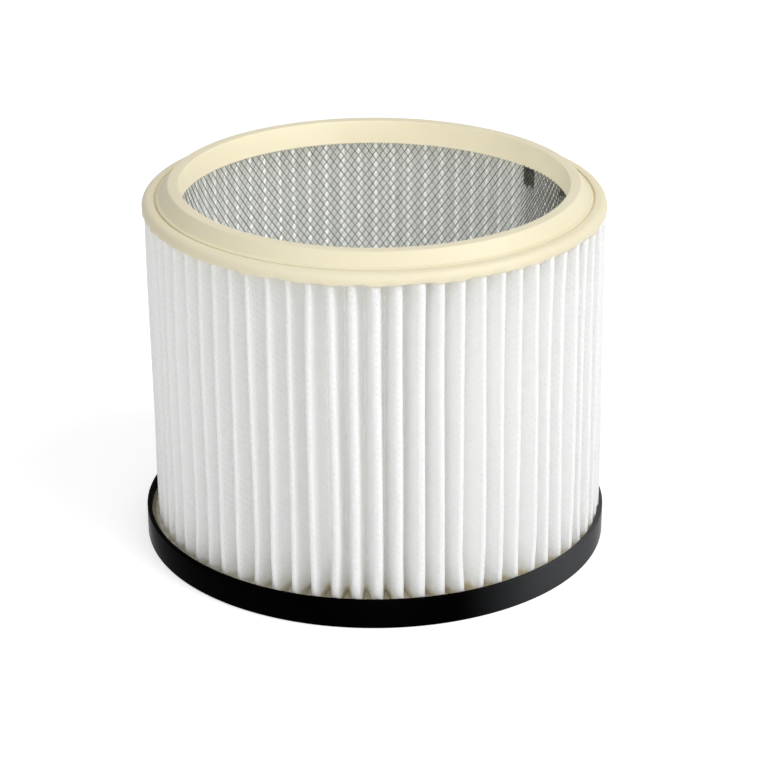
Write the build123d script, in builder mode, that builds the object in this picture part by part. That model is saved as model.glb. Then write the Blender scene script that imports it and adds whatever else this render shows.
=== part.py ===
from build123d import *
import os
from math import acos, atan2, cos, hypot, pi, sin

# Pleated cartridge filter for a wet and dry vacuum cleaner, in millimetres.
# +Z is up, the origin is the middle of the pan's underside, and the front is towards -Y.

# Overall
overall_height = 146.6

# Pleated media, one folded sheet
pleat_count = 69
media_radius = 89.0
pleat_depth = 12.4
sheet_thickness = 0.7
tip_fold_radius = 1.0
root_fold_radius = 0.8
tip_corners = 4
root_corners = 2

# Bottom pan, moulded plastic
rim_clearance = 1.7
pan_wall = 1.8
pan_floor = 2.0
pan_rim_height = 11.9
pan_foot_chamfer = 0.8

# Potting, the adhesive bed in the pan that the pleats and the mesh stand on
potting_depth = 6.0
potting_creep = 2.5

# Top end cap, cast in soft polyurethane
lip_overhang = 1.0
lip_wall = 1.2
lip_round = 3.2
lip_corners = 4
shoulder_width = 1.45
groove_width = 0.9
groove_depth = 0.8
ledge_width = 0.6
sealing_ring_height = 5.2
sealing_ring_width = 4.7
sealing_ring_chamfer = 0.5
root_cover = 1.3

# Support mesh, an expanded-metal strip rolled into a tube and lapped
mesh_clearance = 0.3
mesh_thickness = 0.6
diamonds_around = 15
diamond_rows = 6
strand_width = 3.0
selvedge = 2.5
lap_facet = 2
lap_width = 13.0

# Radii that follow
media_inner_radius = media_radius - pleat_depth
pan_inner_radius = media_radius + rim_clearance
pan_radius = pan_inner_radius + pan_wall
cap_radius = media_radius + lip_overhang
cap_bore_radius = media_inner_radius - root_cover
sealing_ring_radius = cap_bore_radius + sealing_ring_width
groove_outer_radius = cap_radius - lip_round - shoulder_width
groove_inner_radius = groove_outer_radius - groove_width
mesh_corners = 2 * diamonds_around
mesh_corner_angle = 360 / mesh_corners
mesh_corner_radius = media_inner_radius - mesh_clearance
mesh_inner_radius = mesh_corner_radius * cos(pi / mesh_corners) - mesh_thickness
potting_inner_radius = mesh_inner_radius - mesh_thickness - potting_creep

# Heights that follow
potting_top = pan_floor + potting_depth
lip_top = overall_height - sealing_ring_height
cap_underside = lip_top - lip_round - lip_wall
media_height = cap_underside - potting_top


def polar(radius, angle, center=(0.0, 0.0)):
    """Point at an angle in radians and a distance from a centre."""
    return (center[0] + radius * cos(angle), center[1] + radius * sin(angle))


def radial_plane(facing, height):
    """Plane through the axis at a height, whose normal points outwards at an angle in degrees."""
    sideways = Vector(0, 1, 0).rotate(Axis.Z, facing)
    outward = Vector(1, 0, 0).rotate(Axis.Z, facing)
    return Plane((0, 0, height), x_dir=sideways, z_dir=outward)


def arc_corners(center, radius, start, end, corners):
    """Corner points of flat facets laid round an arc, touching it at both ends and between the corners."""
    step = (end - start) / corners
    reach = radius / cos(step / 2)
    return [polar(reach, start + step * (i + 0.5), center) for i in range(corners)]


def folded_outline(face_offset):
    """Closed outline of the folded sheet's middle line, moved outwards by face_offset.

    Each pleat is a rounded tip fold and a tighter root fold, joined by flat flanks that are
    tangent to both folds. The sheet's two faces are the outlines at plus and minus half its thickness.
    """
    half_pitch = pi / pleat_count
    tip_center_radius = media_radius - sheet_thickness / 2 - tip_fold_radius
    root_center_radius = media_inner_radius + sheet_thickness / 2 + root_fold_radius
    root_center = polar(root_center_radius, half_pitch)
    across = root_center[0] - tip_center_radius
    along = root_center[1]
    spread = acos((tip_fold_radius + root_fold_radius) / hypot(across, along))
    flank_normal = atan2(along, across) - spread
    front = -pi / 2
    outline = []
    for pleat in range(pleat_count):
        turn = front + 2 * half_pitch * pleat
        tip_center = polar(tip_center_radius, turn)
        outline += arc_corners(
            tip_center, tip_fold_radius + face_offset, turn - flank_normal, turn + flank_normal, tip_corners
        )
        valley = turn + half_pitch
        root_center = polar(root_center_radius, valley)
        root_start = turn + flank_normal + pi
        root_end = 2 * (valley + pi) - root_start
        outline += arc_corners(root_center, root_fold_radius - face_offset, root_start, root_end, root_corners)
    return outline


# Bottom pan: a dish with an upstanding rim, closed underneath
with BuildPart() as bottom_pan:
    with BuildSketch(Plane.XZ):
        with BuildLine():
            Polyline(
                (0, 0),
                (pan_radius - pan_foot_chamfer, 0),
                (pan_radius, pan_foot_chamfer),
                (pan_radius, pan_rim_height),
                (pan_inner_radius, pan_rim_height),
                (pan_inner_radius, pan_floor),
                (0, pan_floor),
                close=True,
            )
        make_face()
    revolve(axis=Axis.Z)
bottom_pan.part.label = "bottom_pan"

# Bottom potting: a ring of set adhesive that fills the pan's edge and creeps inside the mesh
with BuildPart() as bottom_potting:
    with BuildSketch(Plane.XY.offset(pan_floor)):
        Circle(pan_inner_radius)
        Circle(potting_inner_radius, mode=Mode.SUBTRACT)
    extrude(amount=potting_depth)
bottom_potting.part.label = "bottom_potting"

# Pleated media: the folded sheet stands on the potting and reaches the cap's underside
with BuildPart() as pleated_media:
    with BuildSketch(Plane.XY.offset(potting_top)):
        with BuildLine(Plane.XY.offset(potting_top)):
            Polyline(*folded_outline(sheet_thickness / 2), close=True)
        make_face()
        with BuildLine(Plane.XY.offset(potting_top)):
            Polyline(*folded_outline(-sheet_thickness / 2), close=True)
        make_face(mode=Mode.SUBTRACT)
    extrude(amount=media_height)
pleated_media.part.label = "pleated_media"

# Support mesh: straight strands between knuckles, so the tube has a flat facet for each half diamond
facet_width = 2 * mesh_corner_radius * sin(pi / mesh_corners)
row_pitch = (media_height - 2 * selvedge) / (diamond_rows + 1)
strand_slope = atan2(row_pitch, facet_width)
gap_half_width = facet_width - strand_width / (2 * sin(strand_slope))
gap_half_height = row_pitch - strand_width / (2 * cos(strand_slope))
mesh_low = potting_top + selvedge
mesh_high = cap_underside - selvedge

with BuildPart() as support_mesh:
    with BuildSketch(Plane.XY.offset(potting_top)):
        RegularPolygon(mesh_corner_radius, mesh_corners)
        RegularPolygon(mesh_inner_radius, mesh_corners, major_radius=False, mode=Mode.SUBTRACT)
    extrude(amount=media_height)
    for row in range(diamond_rows + 2):
        row_height = mesh_low + row_pitch * row
        facings = [mesh_corner_angle * (2 * column + row % 2) for column in range(diamonds_around)]
        with BuildSketch(*[radial_plane(facing, row_height) for facing in facings]):
            with BuildLine():
                Polyline(
                    (gap_half_width, 0),
                    (0, min(gap_half_height, mesh_high - row_height)),
                    (-gap_half_width, 0),
                    (0, -min(gap_half_height, row_height - mesh_low)),
                    close=True,
                )
            make_face()
        extrude(amount=mesh_corner_radius, mode=Mode.SUBTRACT)
    lap_facing = mesh_corner_angle * (lap_facet + 0.5)
    with BuildSketch(radial_plane(lap_facing, potting_top + media_height / 2).offset(mesh_inner_radius)):
        Rectangle(lap_width, media_height)
    extrude(amount=-mesh_thickness)
support_mesh.part.label = "support_mesh"

# Top end cap: rounded outer lip, narrow groove, ledge and a raised sealing ring round the bore
lip_center = (cap_radius - lip_round, lip_top - lip_round)
groove_middle = (groove_outer_radius + groove_inner_radius) / 2
with BuildPart() as top_end_cap:
    with BuildSketch(Plane.XZ):
        with BuildLine():
            Polyline(
                (cap_radius, cap_underside),
                (cap_bore_radius, cap_underside),
                (cap_bore_radius, overall_height),
                (sealing_ring_radius - sealing_ring_chamfer, overall_height),
                (sealing_ring_radius, overall_height - sealing_ring_chamfer),
                (groove_inner_radius - ledge_width, lip_top),
                (groove_inner_radius, lip_top),
                (groove_middle, lip_top - groove_depth),
                (groove_outer_radius, lip_top),
                *arc_corners(lip_center, lip_round, pi / 2, 0, lip_corners),
                close=True,
            )
        make_face()
    revolve(axis=Axis.Z)
top_end_cap.part.label = "top_end_cap"

os.makedirs("parts", exist_ok=True)
export_step(bottom_pan.part, "parts/bottom_pan.step")
export_step(bottom_potting.part, "parts/bottom_potting.step")
export_step(pleated_media.part, "parts/pleated_media.step")
export_step(support_mesh.part, "parts/support_mesh.step")
export_step(top_end_cap.part, "parts/top_end_cap.step")
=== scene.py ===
import math
import bpy
import numpy as np
from mathutils import Matrix, Vector


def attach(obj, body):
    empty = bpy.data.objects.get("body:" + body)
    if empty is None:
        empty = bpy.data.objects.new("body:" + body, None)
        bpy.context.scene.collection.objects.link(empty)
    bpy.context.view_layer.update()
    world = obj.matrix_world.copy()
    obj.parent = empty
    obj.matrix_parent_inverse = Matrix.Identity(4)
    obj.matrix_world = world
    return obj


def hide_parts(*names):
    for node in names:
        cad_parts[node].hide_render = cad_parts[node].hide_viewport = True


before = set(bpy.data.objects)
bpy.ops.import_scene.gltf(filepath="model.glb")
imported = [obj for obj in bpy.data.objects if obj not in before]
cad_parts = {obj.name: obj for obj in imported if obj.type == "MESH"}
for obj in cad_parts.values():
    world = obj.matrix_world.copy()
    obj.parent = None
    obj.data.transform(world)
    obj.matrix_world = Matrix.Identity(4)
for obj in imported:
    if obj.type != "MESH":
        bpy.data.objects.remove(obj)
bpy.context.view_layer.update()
rng = np.random.default_rng(69)

# Sizes of the pieces are in millimetres, and the scene is in metres
MM = 0.001

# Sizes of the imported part
PLEATS = 69
TIP_RADIUS = 89.0
ROOT_RADIUS = 76.6
SHEET = 0.7
ROOT_FOLD = 0.8
POTTING_TOP = 8.0
CAP_RADIUS = 90.0
CAP_UNDERSIDE = 137.0
LIP_TOP = 141.4
TOP = 146.6
BORE = 75.3
PAN_RADIUS = 92.5
PAN_INNER = 90.7
PAN_FLOOR = 2.0
RIM_TOP = 11.9

# The pleats are spaced evenly, and the first one's tip stands almost straight in front
PITCH = 2 * math.pi / PLEATS
PLEAT_TURN = -0.0035
FIRST_TIP = -math.pi / 2 + PLEAT_TURN


def ramp(x, start, end):
    """Smooth rise from 0 at start to 1 at end, which may be the smaller of the two."""
    share = np.clip((x - start) / (end - start), 0.0, 1.0)
    return share * share * (3.0 - 2.0 * share)


def wrapped(angle):
    """The same angle, between minus and plus half a turn."""
    return (angle + math.pi) % (2 * math.pi) - math.pi


def unit(angle):
    """Unit vector at an angle round the axis."""
    return np.array([math.cos(angle), math.sin(angle)])


def wave(angle, size, count, seed):
    """Smooth periodic noise round the axis, about plus and minus size, with up to count waves a turn."""
    local = np.random.default_rng(seed)
    total = np.zeros_like(angle)
    for k in range(1, count + 1):
        total += local.normal() * np.cos(k * angle + local.uniform(0, 2 * math.pi)) / math.sqrt(count)
    return size * total


def mesh_object(name, points, faces, smooth=True):
    """Mesh object from points in millimetres and an array or list of faces."""
    mesh = bpy.data.meshes.new(name)
    mesh.from_pydata((np.asarray(points) * MM).tolist(), [], [list(map(int, face)) for face in faces])
    mesh.validate()
    mesh.polygons.foreach_set("use_smooth", [smooth] * len(mesh.polygons))
    mesh.update()
    obj = bpy.data.objects.new(name, mesh)
    bpy.context.collection.objects.link(obj)
    return obj


def grid_faces(rows, columns, close_rows=False, flip=False):
    """Quads of a grid of rows by columns that is closed along its columns, and along its rows if asked."""
    i, j = np.meshgrid(np.arange(rows if close_rows else rows - 1), np.arange(columns), indexing="ij")
    a = (i * columns + j).ravel()
    b = (i * columns + (j + 1) % columns).ravel()
    c = (((i + 1) % rows) * columns + (j + 1) % columns).ravel()
    d = (((i + 1) % rows) * columns + j).ravel()
    quads = np.stack([a, b, c, d], axis=1)
    return quads[:, ::-1] if flip else quads


def rounded(corners, steps):
    """Polyline through corners (radius, height, rounding), with an arc at each corner that is rounded."""
    line = []
    for n, (r, z, rounding) in enumerate(corners):
        here = np.array([r, z])
        if rounding == 0:
            line.append(here)
            continue
        before = np.array(corners[n - 1][:2]) - here
        after = np.array(corners[(n + 1) % len(corners)][:2]) - here
        before = before / np.hypot(*before)
        after = after / np.hypot(*after)
        half = math.acos(before @ after) / 2
        reach = rounding / math.tan(half)
        centre = here + (before + after) / np.hypot(*(before + after)) * rounding / math.sin(half)
        first = here + before * reach - centre
        last = here + after * reach - centre
        start = math.atan2(first[1], first[0])
        turn = wrapped(math.atan2(last[1], last[0]) - start)
        line += [centre + rounding * unit(start + turn * s / steps) for s in range(steps + 1)]
    return np.array(line)


def lathe(profile, segments):
    """Radii, heights and angles of a profile turned about the axis, each of shape (profile, segments)."""
    angle = np.linspace(0, 2 * math.pi, segments, endpoint=False)[None, :]
    r = np.repeat(profile[:, :1], segments, axis=1)
    z = np.repeat(profile[:, 1:], segments, axis=1)
    return r, z, np.repeat(angle, len(profile), axis=0)


def cartesian(r, z, angle):
    """List of points from radii, heights and angles."""
    return np.stack([(r * np.cos(angle)).ravel(), (r * np.sin(angle)).ravel(), z.ravel()], axis=1)


# Pleated media
# One folded sheet. A pleat's section is half a root arc, a flank, a tip arc, a flank and half a root arc.
TIP_STEPS = 8
HALF_ROOT_STEPS = 2
FLANK_STEPS = 3
ROWS = 34
SUNK = 1.5
MEDIA_LOW = POTTING_TOP - SUNK
MEDIA_HIGH = CAP_UNDERSIDE + SUNK

# How far the pleats stray from even ones, at random: leans and bow in radians, depths in millimetres.
# They are held at both ends, and stray freely from some way above the potting to some way below the cap.
STRAY = {
    "top_lean": 0.0022,
    "low_lean": 0.0055,
    "bow": 0.0035,
    "root_lean": 0.0025,
    "top_depth": 0.32,
    "low_depth": 0.35,
}
FREE_ABOVE_POTTING = 22.0
FREE_BELOW_CAP = 16.0
HELD_SHARE = 0.35

# Radius of the tip folds, which are plumper at the front
FOLD = 0.76
FOLD_STRAY = 0.06
FOLD_LIMITS = (0.65, 1.6)
PLUMP = 0.68
PLUMP_MIDDLE = math.radians(5.0)
PLUMP_WIDTH = math.radians(17.0)

# The tips reach past the solid's, and the pleats stand off centre to the right: more so lower down, and
# less so at their roots, which the mesh holds
TIP_REACH = 0.35
SHIFT = 0.5
LOW_SHIFT = 0.85
LOW_SHIFT_HEIGHTS = (118.0, 22.0)
ROOT_SHARE = 0.35
SHIFT_RADII = (78.0, 87.0)


def fold_arc(centre, radius, start, turn, steps, facing=1):
    """Points of a fold without its last one, and normals that face out of it (1) or into it (-1)."""
    spokes = [unit(start + turn * s / steps) for s in range(steps)]
    return [centre + radius * spoke for spoke in spokes], [facing * spoke for spoke in spokes]


def flank_line(start, end, normal):
    """Points of a flat flank without its last one, and its normals."""
    return [start + (end - start) * s / FLANK_STEPS for s in range(FLANK_STEPS)], [normal] * FLANK_STEPS


def pleat_section(tip_angle, root_angles, tip_radius, fold):
    """Middle line of one pleat and its outward normals, from its left root to its right root."""
    tip = (tip_radius - SHEET / 2 - fold) * unit(tip_angle)
    roots = [(ROOT_RADIUS + SHEET / 2 + ROOT_FOLD) * unit(angle) for angle in root_angles]
    facings = []
    for side, root in zip((-1, 1), roots):
        gap = root - tip
        spread = math.acos((fold + ROOT_FOLD) / np.hypot(*gap))
        facings.append(math.atan2(gap[1], gap[0]) - side * spread)
    left_root, right_root = roots
    left_facing, right_facing = facings
    left_normal, right_normal = unit(left_facing), unit(right_facing)
    left_inward, right_inward = [math.atan2(-root[1], -root[0]) for root in roots]
    left_turn = wrapped(left_facing + math.pi - left_inward)
    right_turn = wrapped(right_inward - right_facing - math.pi)
    stretches = [
        fold_arc(left_root, ROOT_FOLD, left_inward, left_turn, HALF_ROOT_STEPS, -1),
        flank_line(left_root - ROOT_FOLD * left_normal, tip + fold * left_normal, left_normal),
        fold_arc(tip, fold, left_facing, wrapped(right_facing - left_facing), TIP_STEPS),
        flank_line(tip + fold * right_normal, right_root - ROOT_FOLD * right_normal, right_normal),
        fold_arc(right_root, ROOT_FOLD, right_facing + math.pi, right_turn, HALF_ROOT_STEPS, -1),
    ]
    return [np.concatenate(kind) for kind in zip(*stretches)]


def sheet_line(share, height, stray, folds):
    """Middle line of the whole sheet and its outward normals, at a height and its share of the whole."""
    free = ramp(height, POTTING_TOP, POTTING_TOP + FREE_ABOVE_POTTING)
    free = free * ramp(height, CAP_UNDERSIDE, CAP_UNDERSIDE - FREE_BELOW_CAP)
    pleats = []
    for k in range(PLEATS):
        base = FIRST_TIP + k * PITCH
        tip = base + stray["top_lean"][k] * share + stray["low_lean"][k] * (1 - share) * free
        tip = tip + stray["bow"][k] * math.sin(math.pi * share) * free
        left = base - PITCH / 2 + stray["root_lean"][k - 1] * free
        right = base + PITCH / 2 + stray["root_lean"][k] * free
        depth = stray["top_depth"][k] * share + stray["low_depth"][k] * (1 - share)
        radius = TIP_RADIUS + TIP_REACH + depth * (HELD_SHARE + (1 - HELD_SHARE) * free)
        pleats.append(pleat_section(tip, (left, right), radius, folds[k]))
    points, normals = [np.concatenate(kind) for kind in zip(*pleats)]
    follow = ROOT_SHARE + (1 - ROOT_SHARE) * ramp(np.hypot(*points.T), *SHIFT_RADII)
    points[:, 0] += (SHIFT + LOW_SHIFT * ramp(height, *LOW_SHIFT_HEIGHTS)) * follow
    return points, normals


def pleated_sheet():
    """The folded sheet, and its length along the middle line at half height.

    Its point attribute holds the run along the sheet, the height, and 0 on the outer side or 1 inside.
    """
    stray = {name: rng.normal(0, spread, PLEATS) for name, spread in STRAY.items()}
    from_front = wrapped(np.arange(PLEATS) * PITCH)
    plump = np.exp(-(((from_front - PLUMP_MIDDLE) / PLUMP_WIDTH) ** 2))
    folds = np.clip(rng.normal(FOLD, FOLD_STRAY, PLEATS) + PLUMP * plump, *FOLD_LIMITS)
    outer, inner, cloth, lengths = [], [], [], []
    for row in range(ROWS):
        share = row / (ROWS - 1)
        height = MEDIA_LOW + (MEDIA_HIGH - MEDIA_LOW) * share
        points, normals = sheet_line(share, height, stray, folds)
        steps = np.hypot(*(np.roll(points, -1, axis=0) - points).T)
        run = np.concatenate([[0.0], np.cumsum(steps)[:-1]])
        level = np.full(len(points), height)
        outer.append(np.column_stack([points + normals * SHEET / 2, level]))
        inner.append(np.column_stack([points - normals * SHEET / 2, level]))
        cloth.append(np.column_stack([run, level]))
        lengths.append(float(steps.sum()))
    columns = len(run)
    side = ROWS * columns
    here = np.arange(columns)
    after = (here + 1) % columns
    faces = [
        grid_faces(ROWS, columns),
        grid_faces(ROWS, columns, flip=True) + side,
        np.stack([here, side + here, side + after, after], axis=1),
        np.stack([here, after, side + after, side + here], axis=1) + (ROWS - 1) * columns,
    ]
    sheet = mesh_object("pleated_sheet", np.concatenate(outer + inner), np.concatenate(faces))
    inner_side = np.repeat([[0.0], [1.0]], side, axis=0)
    layer = sheet.data.attributes.new("cloth", "FLOAT_VECTOR", "POINT")
    values = np.hstack([np.concatenate(cloth + cloth), inner_side])
    layer.data.foreach_set("vector", values.astype(np.float32).ravel())
    return sheet, lengths[ROWS // 2]


media, media_length = pleated_sheet()
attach(media, "root")
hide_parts("pleated_media")

# Top end cap
# Cast in one piece: rounded lip, groove, ledge, concave corner, sloped wall, flat sealing face and bore.
CAP_SEGMENTS = 1104
CAP_SINK = 0.3
SINK_RADIUS = 86.0
RING_RADIUS = 79.85
RING_FOOT = 83.35
LEDGE_RISE = 0.1
GROOVE_INNER = 84.45
GROOVE_OUTER = 85.4
GROOVE_TAPER = 0.2
GROOVE_DEPTH = 0.95
LIP_ROUND = 3.0

# The lip's lower edge has crept down each ridge in a lobe, and is drawn up and in at a notch between ridges
CREEP_SHAPE = 1.2
CREEP_SCALE = 0.22
CREEP_LIMITS = (0.02, 0.9)
LOBE_SWING = 0.75
LOBE_LEVEL = 0.35
NOTCH_LEVEL = -0.55
NOTCH_RISE = 0.22
NOTCH_DEPTH = 0.25
EDGE_RADII = (87.2, 89.2)
EDGE_HEIGHTS = (139.4, 137.2)
UPPER_HEIGHTS = (138.0, 141.0)


def cast_end_cap():
    """The cap, with its lobed lower edge and the slight unevenness of a casting."""
    profile = rounded(
        [
            (CAP_RADIUS, CAP_UNDERSIDE, 0.7),
            (SINK_RADIUS, CAP_UNDERSIDE - CAP_SINK, 0.0),
            (BORE, CAP_UNDERSIDE - CAP_SINK, 0.7),
            (BORE, TOP, 0.75),
            (RING_RADIUS, TOP, 0.7),
            (RING_FOOT, LIP_TOP + LEDGE_RISE, 1.3),
            (GROOVE_INNER, LIP_TOP, 0.25),
            (GROOVE_INNER + GROOVE_TAPER, LIP_TOP - GROOVE_DEPTH, 0.2),
            (GROOVE_OUTER - GROOVE_TAPER, LIP_TOP - GROOVE_DEPTH, 0.2),
            (GROOVE_OUTER, LIP_TOP, 0.45),
            (CAP_RADIUS, LIP_TOP, LIP_ROUND),
        ],
        steps=7,
    )
    r, z, angle = lathe(profile, CAP_SEGMENTS)
    count = (angle - FIRST_TIP) / PITCH + 0.5
    phase = count % 1.0 - 0.5
    pleat = np.floor(count).astype(int) % PLEATS
    creep = np.clip(rng.gamma(CREEP_SHAPE, CREEP_SCALE, PLEATS), *CREEP_LIMITS)[pleat]
    lobe = np.clip(np.cos(phase * 2 * math.pi) * LOBE_SWING + LOBE_LEVEL, 0, 1)
    notch = np.clip(np.cos((phase - 0.5) * 2 * math.pi) + NOTCH_LEVEL, 0, 1)
    edge = ramp(r, *EDGE_RADII) * ramp(z, *EDGE_HEIGHTS)
    z = z + edge * (-creep * lobe + NOTCH_RISE * notch + wave(angle, size=0.25, count=40, seed=5))
    r = r + edge * (wave(angle, size=0.18, count=60, seed=6) - NOTCH_DEPTH * notch)
    z = z + wave(angle, size=0.10, count=5, seed=7) * ramp(z, *UPPER_HEIGHTS)
    r = r + wave(angle, size=0.12, count=4, seed=8)
    faces = grid_faces(len(profile), CAP_SEGMENTS, close_rows=True)
    return mesh_object("cast_end_cap", cartesian(r, z, angle), faces)


cap = cast_end_cap()
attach(cap, "root")
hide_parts("top_end_cap")

# Bottom pan
PAN_SEGMENTS = 720
DISC_RADIUS = 40.0
WARP_RADII = (60.0, 90.0)
WARP_HEIGHTS = (6.0, 11.0)


def moulded_pan():
    """Dish with a rounded foot and rim, slightly warped, with a flat disc on both sides of its floor."""
    profile = rounded(
        [
            (DISC_RADIUS, 0.0, 0.0),
            (PAN_RADIUS, 0.0, 0.9),
            (PAN_RADIUS, RIM_TOP, 0.55),
            (PAN_INNER, RIM_TOP, 0.45),
            (PAN_INNER, PAN_FLOOR, 0.8),
            (DISC_RADIUS, PAN_FLOOR, 0.0),
        ],
        steps=6,
    )
    r, z, angle = lathe(profile, PAN_SEGMENTS)
    r = r + wave(angle, size=0.05, count=6, seed=11) * ramp(r, *WARP_RADII)
    z = z + wave(angle, size=0.06, count=8, seed=12) * ramp(z, *WARP_HEIGHTS)
    disc = np.arange(PAN_SEGMENTS)
    faces = grid_faces(len(profile), PAN_SEGMENTS).tolist()
    faces.append(disc[::-1])
    faces.append(disc + (len(profile) - 1) * PAN_SEGMENTS)
    return mesh_object("moulded_pan", cartesian(r, z, angle), faces)


pan = moulded_pan()
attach(pan, "root")
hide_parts("bottom_pan")

# Bottom potting
POTTING_SEGMENTS = 828
POTTING_FOOT = 73.2
BEAD_RADIUS = 72.4
BEAD_DROP = 1.2
BED_INNER = 75.2
BED_OUTER = 88.6
SAG_START = 78.0
SAG_START_DEPTH = 0.3
SAG_INNER = 82.0
SAG_OUTER = 86.0
SAG_DEPTH = 0.7
FILLET_RADIUS = 89.8
FILLET_RISE = 0.3
WALL_RISE = 1.4
WALL_CLEARANCE = 0.05
RAISED_HEIGHTS = (5.0, 7.0)
INSIDE_RADII = (76.0, 73.0)
INSIDE_CREEP = 0.5


def cast_potting():
    """Adhesive ring that creeps inside the mesh, sags between the pleats and climbs the pan's wall."""
    wall = PAN_INNER - WALL_CLEARANCE
    profile = rounded(
        [
            (POTTING_FOOT, PAN_FLOOR, 0.0),
            (BEAD_RADIUS, POTTING_TOP - BEAD_DROP, 2.0),
            (BED_INNER, POTTING_TOP, 0.0),
            (SAG_START, POTTING_TOP - SAG_START_DEPTH, 0.0),
            (SAG_INNER, POTTING_TOP - SAG_DEPTH, 0.0),
            (SAG_OUTER, POTTING_TOP - SAG_DEPTH, 0.0),
            (BED_OUTER, POTTING_TOP, 0.0),
            (FILLET_RADIUS, POTTING_TOP + FILLET_RISE, 0.6),
            (wall, POTTING_TOP + WALL_RISE, 0.0),
            (wall, PAN_FLOOR, 0.0),
        ],
        steps=5,
    )
    r, z, angle = lathe(profile, POTTING_SEGMENTS)
    raised = ramp(z, *RAISED_HEIGHTS)
    swell = wave(angle, size=0.30, count=9, seed=21) + wave(angle, size=0.18, count=70, seed=22)
    z = z + raised * swell
    creep = INSIDE_CREEP + wave(angle, size=0.5, count=24, seed=23)
    r = r - ramp(r, *INSIDE_RADII) * raised * creep
    faces = grid_faces(len(profile), POTTING_SEGMENTS, close_rows=True, flip=True)
    return mesh_object("cast_potting", cartesian(r, z, angle), faces)


potting = cast_potting()
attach(potting, "root")
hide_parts("bottom_potting")

# Support mesh
# Expanded metal: two families of flat strands, twisted opposite ways out of the tube's surface, so that
# the one or the other shows its broad side, and trimmed a little past the ends of their layer. The strip's
# end laps over its start as a second layer inside.
CELLS = 161
CELL_HEIGHT = 4.1
HALF_CELL = math.pi / CELLS
STRAND = 0.33
GAUGE = 0.10
STRAND_END = 0.5
TWIST = {1: math.radians(-40), -1: math.radians(30)}
MESH_RADIUS = 76.0
MESH_LOW = 6.5
MESH_HIGH = 137.5
LAP_SECTOR = (math.radians(6.0), math.radians(37.8))
LAP_INSET = 0.9
LAP_TURN = 0.4 * HALF_CELL
LAP_RISE = 0.7
LAP_HIGH = 137.0


def sector_runs(turn, sector):
    """Runs of a strand's knuckles that lie in a sector, or one run of them all where no sector is given."""
    if sector is None:
        return [np.arange(len(turn))]
    inside = ((turn - sector[0]) % (2 * math.pi)) < sector[1] - sector[0]
    marks = np.flatnonzero(np.diff(np.concatenate([[0], inside.astype(int), [0]])))
    return [np.arange(a, b) for a, b in marks.reshape(-1, 2) if b - a > 1]


def strand_layer(radius, offset, rise, low, high, sector=None):
    """Points and faces of both strand families between two heights, in one sector or all round."""
    half_rows = int(round((high - low) / (CELL_HEIGHT / 2)))
    knuckles = np.arange(half_rows + 1)
    levels = low + (high - low) * knuckles / half_rows + rise
    slope = math.atan2((high - low) / half_rows, HALF_CELL * radius)
    corners = ((1, 1), (1, -1), (-1, -1), (-1, 1))
    points = []
    faces = []
    total = 0
    for family, twist in TWIST.items():
        lean, tilt = math.cos(twist), math.sin(twist)
        for cell in range(CELLS):
            turn = offset + 2 * HALF_CELL * cell + family * HALF_CELL * knuckles
            for run in sector_runs(turn, sector):
                edges = []
                for side, deep in corners:
                    flat = side * STRAND / 2 * lean + deep * GAUGE / 2 * tilt
                    out = deep * GAUGE / 2 * lean - side * STRAND / 2 * tilt
                    angle = turn[run] + flat * math.sin(slope) / radius
                    height = levels[run] - family * flat * math.cos(slope)
                    height = np.clip(height, low - STRAND_END, high + STRAND_END)
                    edges.append(cartesian(radius + out, height, angle))
                block = np.stack(edges, axis=1).reshape(-1, 3)
                first_end = np.arange(len(corners))
                ends = np.stack([first_end, len(block) - 1 - first_end])
                points.append(block)
                faces.append(grid_faces(len(run), len(corners), flip=family < 0) + total)
                faces.append((ends[:, ::-1] if family < 0 else ends) + total)
                total += len(block)
    return np.concatenate(points), np.concatenate(faces)


def expanded_mesh():
    """The rolled tube and the lapped end of its strip."""
    points, faces = strand_layer(MESH_RADIUS, 0.0, 0.0, MESH_LOW, MESH_HIGH)
    lap_points, lap_faces = strand_layer(
        MESH_RADIUS - LAP_INSET, LAP_TURN, LAP_RISE, MESH_LOW, LAP_HIGH, LAP_SECTOR
    )
    faces = np.concatenate([faces, lap_faces + len(points)])
    return mesh_object("expanded_mesh", np.concatenate([points, lap_points]), faces, smooth=False)


tube = expanded_mesh()
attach(tube, "root")
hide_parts("support_mesh")


# Materials
# Their lengths are in metres, apart from the fabric's point attribute, which is in millimetres.
FABRIC_WHITE = (0.932, 0.938, 0.926, 1)
FABRIC_LIGHT = (0.945, 0.950, 0.936, 1)
FABRIC_POINT = (0.90, 0.905, 0.895, 1)
FOOT_STAIN = (0.62, 0.49, 0.24, 1)
SHADE_BLACK = (0.012, 0.011, 0.010, 1)
CREAM = (0.795, 0.72, 0.518, 1)
CREAM_LIGHT = (0.855, 0.791, 0.583, 1)
CREAM_EDGE = (0.85, 0.79, 0.62, 1)
CREAM_PINHOLE_SHADE = (0.42, 0.34, 0.2, 1)
BLACK = (0.0003, 0.0003, 0.0004, 1)
BLACK_RUBBED = (0.0012, 0.0012, 0.0013, 1)
BLACK_PAINTED_SHEEN = (0.062, 0.065, 0.069, 1)
DUST = (0.45, 0.44, 0.42, 1)
AMBER_DARK = (0.15, 0.12, 0.055, 1)
AMBER = (0.36, 0.30, 0.15, 1)
AMBER_BUBBLE = (0.60, 0.52, 0.33, 1)
AMBER_PAINTED_LIGHT = (0.80, 0.77, 0.67, 1)
ZINC_DARK = (0.115, 0.116, 0.096, 1)
ZINC = (0.23, 0.232, 0.192, 1)
FLOOR_GREY = (0.6, 0.6, 0.6, 1)
FLOOR_SEEN = (0.8, 0.8, 0.8, 1)
WHITE = (1, 1, 1, 1)


def plug(tree, value, socket):
    """Links a socket, or sets a plain value."""
    if isinstance(value, bpy.types.NodeSocket):
        tree.links.new(value, socket)
    else:
        socket.default_value = value


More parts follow.
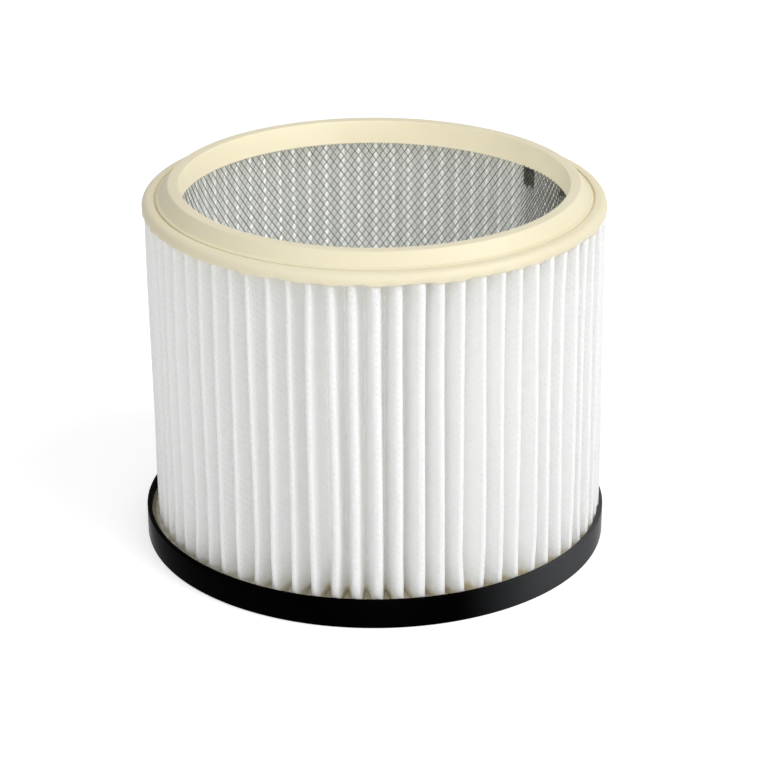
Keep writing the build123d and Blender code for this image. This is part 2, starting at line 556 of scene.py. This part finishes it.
def set_inputs(tree, node, values):
    """Plugs each value or socket into the node's input of that name."""
    for name, value in values.items():
        plug(tree, value, node.inputs[name])


def material(name, obj):
    """Gives the object a new material of its own. Returns the node tree and the shader."""
    made = bpy.data.materials.new(name)
    made.use_nodes = True
    obj.data.materials.clear()
    obj.data.materials.append(made)
    return made.node_tree, made.node_tree.nodes["Principled BSDF"]


def math_node(tree, operation, *values, clamp=False):
    """Result of one operation on plain values or sockets."""
    node = tree.nodes.new("ShaderNodeMath")
    node.operation = operation
    node.use_clamp = clamp
    for socket, value in zip(node.inputs, values):
        plug(tree, value, socket)
    return node.outputs[0]


def times(tree, first, second):
    """Product of two plain values or sockets."""
    return math_node(tree, "MULTIPLY", first, second)


def mix_color(tree, factor, first, second):
    """Mix of two colours, all second at a factor of 1."""
    node = tree.nodes.new("ShaderNodeMix")
    node.data_type = "RGBA"
    plug(tree, factor, node.inputs[0])
    plug(tree, first, node.inputs[6])
    plug(tree, second, node.inputs[7])
    return node.outputs[2]


def position(tree):
    """Place in the object's own frame, in metres."""
    return tree.nodes.new("ShaderNodeTexCoord").outputs["Object"]


def noise(tree, vector, scale, detail=3.0, roughness=0.5):
    """Cloudy noise, about 0 to 1."""
    node = tree.nodes.new("ShaderNodeTexNoise")
    set_inputs(tree, node, {"Vector": vector, "Scale": scale, "Detail": detail, "Roughness": roughness})
    return node.outputs["Fac"]


def cells(tree, vector, scale):
    """Outputs of a cell pattern, of which Distance is 0 in the middle of a cell."""
    node = tree.nodes.new("ShaderNodeTexVoronoi")
    set_inputs(tree, node, {"Vector": vector, "Scale": scale})
    return node.outputs


def remap(tree, value, low, high, to_low=0.0, to_high=1.0):
    """Smooth change from to_low to to_high, as the value goes from low to high."""
    node = tree.nodes.new("ShaderNodeMapRange")
    node.interpolation_type = "SMOOTHSTEP"
    limits = {"From Min": low, "From Max": high, "To Min": to_low, "To Max": to_high}
    set_inputs(tree, node, {"Value": value, **limits})
    return node.outputs["Result"]


def stretched(tree, vector, scale):
    """Vector scaled along each axis by itself."""
    node = tree.nodes.new("ShaderNodeMapping")
    set_inputs(tree, node, {"Vector": vector, "Scale": scale})
    return node.outputs["Vector"]


def bump(tree, shader, height, distance, strength):
    """Fine relief of the shader's surface, where a height of 1 stands distance metres out."""
    node = tree.nodes.new("ShaderNodeBump")
    set_inputs(tree, node, {"Height": height, "Strength": strength, "Distance": distance})
    plug(tree, node.outputs["Normal"], shader.inputs["Normal"])


def axes(tree, vector):
    """The three parts of a vector."""
    node = tree.nodes.new("ShaderNodeSeparateXYZ")
    plug(tree, vector, node.inputs[0])
    return node.outputs


# Filter fabric
# Pitches of the bonded points along and up the sheet, and two spots of painted shade on its inner side
# under the cap, where an open gap between pleats lies in shadow: from and to which angle in degrees, and
# down to which height in metres.
POINT_PITCH = 3.4
POINT_RISE = 2.7
SHADE_SPOTS = ((33.3, 37.6, 0.1312), (9.0, 17.0, 0.1364))
SHADE_SIDE_BLUR = 0.6
SHADE_LOW_BLUR = 0.0006
SHADE_RAGGED = 0.007
STAIN_LOW = 6.6
STAIN_CLIMB = 7.5
STAIN_FADE = (-1.5, 2.6)
STAIN_RIGHT = 0.75
STAIN_REACH = (0.02, 0.09)
STAIN_SHARE = 0.55


def filter_fabric(obj):
    """White nonwoven with a staggered lattice of bonded points and fibres, amber at its foot, and two spots
    of painted shade inside.
    """
    tree, shader = material("filter_fabric", obj)
    attribute = tree.nodes.new("ShaderNodeAttribute")
    attribute.attribute_name = "cloth"
    cloth = attribute.outputs["Vector"]
    along, up, inner_side = axes(tree, cloth)
    at = position(tree)
    right, ahead, level = axes(tree, at)

    across_wave = math_node(tree, "COSINE", times(tree, along, 2 * math.pi / POINT_PITCH))
    up_wave = math_node(tree, "COSINE", times(tree, up, 2 * math.pi / POINT_RISE))
    dots = remap(tree, times(tree, across_wave, up_wave), 0.35, 0.8)
    fibre = noise(tree, stretched(tree, cloth, (2.2, 0.5, 1.0)), scale=1.6, detail=6.0, roughness=0.65)
    blotch = noise(tree, stretched(tree, cloth, (0.06, 0.02, 1.0)), scale=1.0, detail=2.0)
    color = mix_color(tree, blotch, FABRIC_WHITE, FABRIC_LIGHT)
    color = mix_color(tree, times(tree, dots, 0.5), color, FABRIC_POINT)

    # The stain climbs unevenly, and is strongest at the front right
    climb = noise(tree, stretched(tree, cloth, (0.25, 0.05, 1.0)), scale=1.0)
    stain_top = math_node(tree, "ADD", STAIN_LOW, times(tree, climb, STAIN_CLIMB))
    stain = remap(tree, math_node(tree, "SUBTRACT", stain_top, up), *STAIN_FADE, 0.0, STAIN_SHARE)
    front_right = math_node(tree, "SUBTRACT", times(tree, right, STAIN_RIGHT), ahead)
    crept = remap(tree, front_right, *STAIN_REACH, 0.25, 1.0)
    color = mix_color(tree, times(tree, stain, crept), color, FOOT_STAIN)

    # Two near-black spots on the inner side are painted shade: the shadow in an open gap between pleats,
    # painted into the colour.
    turn = math_node(tree, "ARCTAN2", ahead, right)
    rough_edge = noise(tree, at, scale=500.0, detail=2.0)
    ragged = math_node(tree, "MULTIPLY_ADD", rough_edge, SHADE_RAGGED, level)
    painted_shade = 0.0
    for first, last, low in SHADE_SPOTS:
        begun = remap(tree, turn, math.radians(first - SHADE_SIDE_BLUR), math.radians(first))
        ended = remap(tree, turn, math.radians(last + SHADE_SIDE_BLUR), math.radians(last))
        above = remap(tree, ragged, low - SHADE_LOW_BLUR, low)
        spot = times(tree, times(tree, begun, ended), above)
        painted_shade = math_node(tree, "ADD", painted_shade, spot, clamp=True)
    painted_shade = times(tree, painted_shade, inner_side)
    color = mix_color(tree, times(tree, painted_shade, 0.97), color, SHADE_BLACK)

    set_inputs(tree, shader, {
        "Base Color": color,
        "Roughness": 0.75,
        "Subsurface Weight": math_node(tree, "MULTIPLY_ADD", inner_side, -0.75, 1.0),
        "Subsurface Radius": (1.0, 0.98, 0.94),
        "Subsurface Scale": 0.0011,
        "Sheen Weight": 0.15,
        "Specular IOR Level": 0.35,
    })
    relief = math_node(tree, "SUBTRACT", times(tree, fibre, 0.45), dots)
    bump(tree, shader, relief, distance=0.00014, strength=0.8)


# Cast polyurethane
# Heights over which the cap turns paler towards its lower edge, and how ragged that is.
PALE_EDGE = (0.1386, 0.1366)
PALE_RAGGED = 0.0008


def cast_polyurethane(obj):
    """Cream, soft and matte, with flow shades, pinholes darkened with painted shade, and a paler creeping
    edge.
    """
    tree, shader = material("cast_polyurethane", obj)
    at = position(tree)
    up = axes(tree, at)[2]
    shade = noise(tree, at, scale=14.0)
    fine = noise(tree, at, scale=420.0, roughness=0.6)
    color = mix_color(tree, remap(tree, shade, 0.3, 0.7), CREAM, CREAM_LIGHT)
    edge = remap(tree, math_node(tree, "ADD", up, times(tree, fine, PALE_RAGGED)), *PALE_EDGE)
    color = mix_color(tree, times(tree, edge, 0.5), color, CREAM_EDGE)
    # Each pinhole is a bump pit, darkened in colour as painted shade inside it.
    pit = remap(tree, cells(tree, at, scale=260.0)["Distance"], 0.10, 0.03)
    rare = remap(tree, noise(tree, at, scale=75.0, detail=1.0), 0.62, 0.70)
    pinhole = times(tree, pit, rare)
    color = mix_color(tree, times(tree, pinhole, 0.5), color, CREAM_PINHOLE_SHADE)
    set_inputs(tree, shader, {
        "Base Color": color,
        "Roughness": remap(tree, shade, 0.2, 0.8, 0.46, 0.6),
        "Subsurface Weight": 0.2,
        "Subsurface Radius": (1.0, 0.8, 0.5),
        "Subsurface Scale": 0.0015,
    })
    relief = math_node(tree, "SUBTRACT", times(tree, fine, 0.35), pinhole)
    bump(tree, shader, relief, distance=0.00012, strength=0.6)


# Black plastic
# The painted sheen, a reflection on the gloss painted into the colour, grows with the distance to the right
# and a little forward.
SHEEN_RIGHT = 0.966
SHEEN_AHEAD = -0.26
SHEEN_REACH = (0.052, 0.092)


def black_plastic(obj):
    """Black, faintly uneven, with fine rubbed scratches, and a greyish painted sheen on the right with
    specks of dust in it.
    """
    tree, shader = material("black_plastic", obj)
    at = position(tree)
    right, ahead, _ = axes(tree, at)
    rubbed = stretched(tree, at, (40.0, 40.0, 900.0))
    scratch = noise(tree, rubbed, scale=1.0, detail=4.0, roughness=0.7)
    patch = noise(tree, at, scale=18.0, detail=2.0)
    color = mix_color(tree, remap(tree, patch, 0.3, 0.75), BLACK, BLACK_RUBBED)
    # The right side is painted lighter: a painted sheen that stands in for a reflection, not a film on the
    # plastic.
    toward = math_node(tree, "MULTIPLY_ADD", ahead, SHEEN_AHEAD, times(tree, right, SHEEN_RIGHT))
    patchy = remap(tree, patch, 0.2, 0.8, 0.75, 1.0)
    painted_sheen = times(tree, remap(tree, toward, *SHEEN_REACH), patchy)
    color = mix_color(tree, painted_sheen, color, BLACK_PAINTED_SHEEN)
    # Specks of dust, only where the painted sheen is.
    dust = remap(tree, noise(tree, at, scale=900.0, detail=2.0, roughness=0.6), 0.66, 0.78)
    color = mix_color(tree, times(tree, dust, times(tree, painted_sheen, 0.1)), color, DUST)
    set_inputs(tree, shader, {
        "Base Color": color,
        "Roughness": remap(tree, scratch, 0.35, 0.7, 0.16, 0.32),
        "Specular IOR Level": 0.004,
    })
    bump(tree, shader, scratch, distance=0.00002, strength=0.3)


# Amber adhesive
# Radii over which it is painted pale, as painted light that lifts the shade between the pleats, from the
# mesh outwards and from the rim inwards.
PAINTED_LIGHT_INNER = (0.0755, 0.0765)
PAINTED_LIGHT_OUTER = (0.0895, 0.0882)


def amber_adhesive(obj):
    """Glossy olive amber with bubbles, painted pale between the pleats as painted light in their shade."""
    tree, shader = material("amber_adhesive", obj)
    at = position(tree)
    right, ahead, _ = axes(tree, at)
    depth = noise(tree, at, scale=60.0)
    color = mix_color(tree, remap(tree, depth, 0.3, 0.7), AMBER_DARK, AMBER)
    bubble = remap(tree, cells(tree, at, scale=420.0)["Distance"], 0.25, 0.1)
    color = mix_color(tree, times(tree, bubble, 0.35), color, AMBER_BUBBLE)
    # Between the pleats the colour is lightened: painted light against the shade in the slits.
    square = math_node(tree, "MULTIPLY_ADD", right, right, times(tree, ahead, ahead))
    radius = math_node(tree, "SQRT", square)
    painted_light_between = times(tree, remap(tree, radius, *PAINTED_LIGHT_OUTER), remap(tree, radius, *PAINTED_LIGHT_INNER))
    color = mix_color(tree, painted_light_between, color, AMBER_PAINTED_LIGHT)
    set_inputs(tree, shader, {
        "Base Color": color,
        "Roughness": remap(tree, depth, 0.2, 0.8, 0.18, 0.35),
        "Subsurface Weight": 0.25,
        "Subsurface Radius": (1.0, 0.6, 0.2),
        "Subsurface Scale": 0.002,
    })
    bump(tree, shader, math_node(tree, "ADD", depth, bubble), distance=0.0002, strength=0.5)


def galvanised_mesh(obj):
    """Zinc grey with a crystalline variation."""
    tree, shader = material("galvanised_mesh", obj)
    grain = axes(tree, cells(tree, position(tree), scale=330.0)["Color"])[0]
    set_inputs(tree, shader, {
        "Base Color": mix_color(tree, grain, ZINC_DARK, ZINC),
        "Metallic": 0.4,
        "Roughness": remap(tree, grain, 0.0, 1.0, 0.36, 0.55),
    })


filter_fabric(media)
cast_polyurethane(cap)
black_plastic(pan)
amber_adhesive(potting)
galvanised_mesh(tube)

# Floor and sky
# Both are white where they are seen, straight or in a reflection, and light the part with less.
FLOOR_HALF = 4000.0
FLOOR_GLOW = 0.20
FLOOR_SEEN_GLOW = 0.60
SKY_GLOW = 0.416
SKY_SEEN_GLOW = 1.0


def seen_rays(tree):
    """1 for rays that see the surface, straight, mirrored or through something, and 0 for others."""
    rays = tree.nodes.new("ShaderNodeLightPath").outputs
    seen = math_node(tree, "ADD", rays["Is Camera Ray"], rays["Is Glossy Ray"], clamp=True)
    return math_node(tree, "ADD", seen, rays["Is Transmission Ray"], clamp=True)


def glow_strength(tree, seen, unseen_level, seen_level):
    """Strength of a glow that has another level where it is seen."""
    return math_node(tree, "MULTIPLY_ADD", seen, seen_level - unseen_level, unseen_level)


def white_floor(obj):
    """Matte and pale, with a glow of its own."""
    tree, shader = material("white_floor", obj)
    seen = seen_rays(tree)
    set_inputs(tree, shader, {
        "Base Color": mix_color(tree, seen, FLOOR_GREY, FLOOR_SEEN),
        "Roughness": 0.9,
        "Specular IOR Level": 0.0,
        "Emission Color": WHITE,
        "Emission Strength": glow_strength(tree, seen, FLOOR_GLOW, FLOOR_SEEN_GLOW),
    })


floor_corners = [(x * FLOOR_HALF, y * FLOOR_HALF, 0) for x, y in ((-1, -1), (1, -1), (1, 1), (-1, 1))]
floor = mesh_object("floor", floor_corners, [[0, 1, 2, 3]])
white_floor(floor)

world = bpy.data.worlds.new("studio")
bpy.context.scene.world = world
world.use_nodes = True
sky_tree = world.node_tree
sky_strength = glow_strength(sky_tree, seen_rays(sky_tree), SKY_GLOW, SKY_SEEN_GLOW)
set_inputs(sky_tree, sky_tree.nodes["Background"], {"Color": WHITE, "Strength": sky_strength})

# Lamps, in metres and watts
# The lamp in the hollow stands in for the light that comes through the fabric.
LAMP_TARGET = Vector((0, 0, 0.08))


def place_lamp(name, data, place, power):
    """Puts a lamp of a given power in its place, unseen by the camera."""
    data.energy = power
    lamp = bpy.data.objects.new(name, data)
    lamp.location = place
    lamp.visible_camera = False
    bpy.context.collection.objects.link(lamp)
    return lamp


def softbox(name, place, size, power):
    """Rectangular area lamp that faces the part."""
    data = bpy.data.lights.new(name, "AREA")
    data.shape = "RECTANGLE"
    data.size, data.size_y = size
    lamp = place_lamp(name, data, place, power)
    lamp.rotation_euler = (LAMP_TARGET - Vector(place)).to_track_quat("-Z", "Y").to_euler()


def glow_lamp(name, place, radius, power):
    """Soft point lamp that shows in no reflection."""
    data = bpy.data.lights.new(name, "POINT")
    data.shadow_soft_size = radius
    lamp = place_lamp(name, data, place, power)
    lamp.visible_glossy = False


softbox("key", place=(1.00, -0.58, 1.32), size=(1.2, 1.2), power=17.3)
softbox("fill", place=(-0.30, -1.58, 0.42), size=(1.4, 0.5), power=6.4)
glow_lamp("hollow", place=(0, 0, 0.09), radius=0.03, power=0.14)

# The camera that was fitted to the rings of the photograph, whose focal length and side are in pixels
FOCAL_PIXELS = 2499.25
SIDE_PIXELS = 781.0
SENSOR = 36.0
CAMERA_PLACE = (0.0, -0.9180, 0.45804)
PAN_TURN = 0.00663
TILT = 0.4114
ROLL = 0.0004

lens = bpy.data.cameras.new("camera")
lens.sensor_fit = "AUTO"
lens.sensor_width = SENSOR
lens.lens = SENSOR * FOCAL_PIXELS / SIDE_PIXELS
camera = bpy.data.objects.new("camera", lens)
bpy.context.collection.objects.link(camera)
level_part = math.cos(TILT)
forward = Vector((
    math.sin(PAN_TURN) * level_part,
    math.cos(PAN_TURN) * level_part,
    -math.sin(TILT),
))
aim = forward.to_track_quat("-Z", "Y").to_matrix().to_4x4()
camera.matrix_world = Matrix.Translation(CAMERA_PLACE) @ aim @ Matrix.Rotation(ROLL, 4, "Z")
bpy.context.scene.camera = camera
bpy.context.scene.view_settings.view_transform = "Standard"
bpy.context.scene.cycles.diffuse_bounces = 10
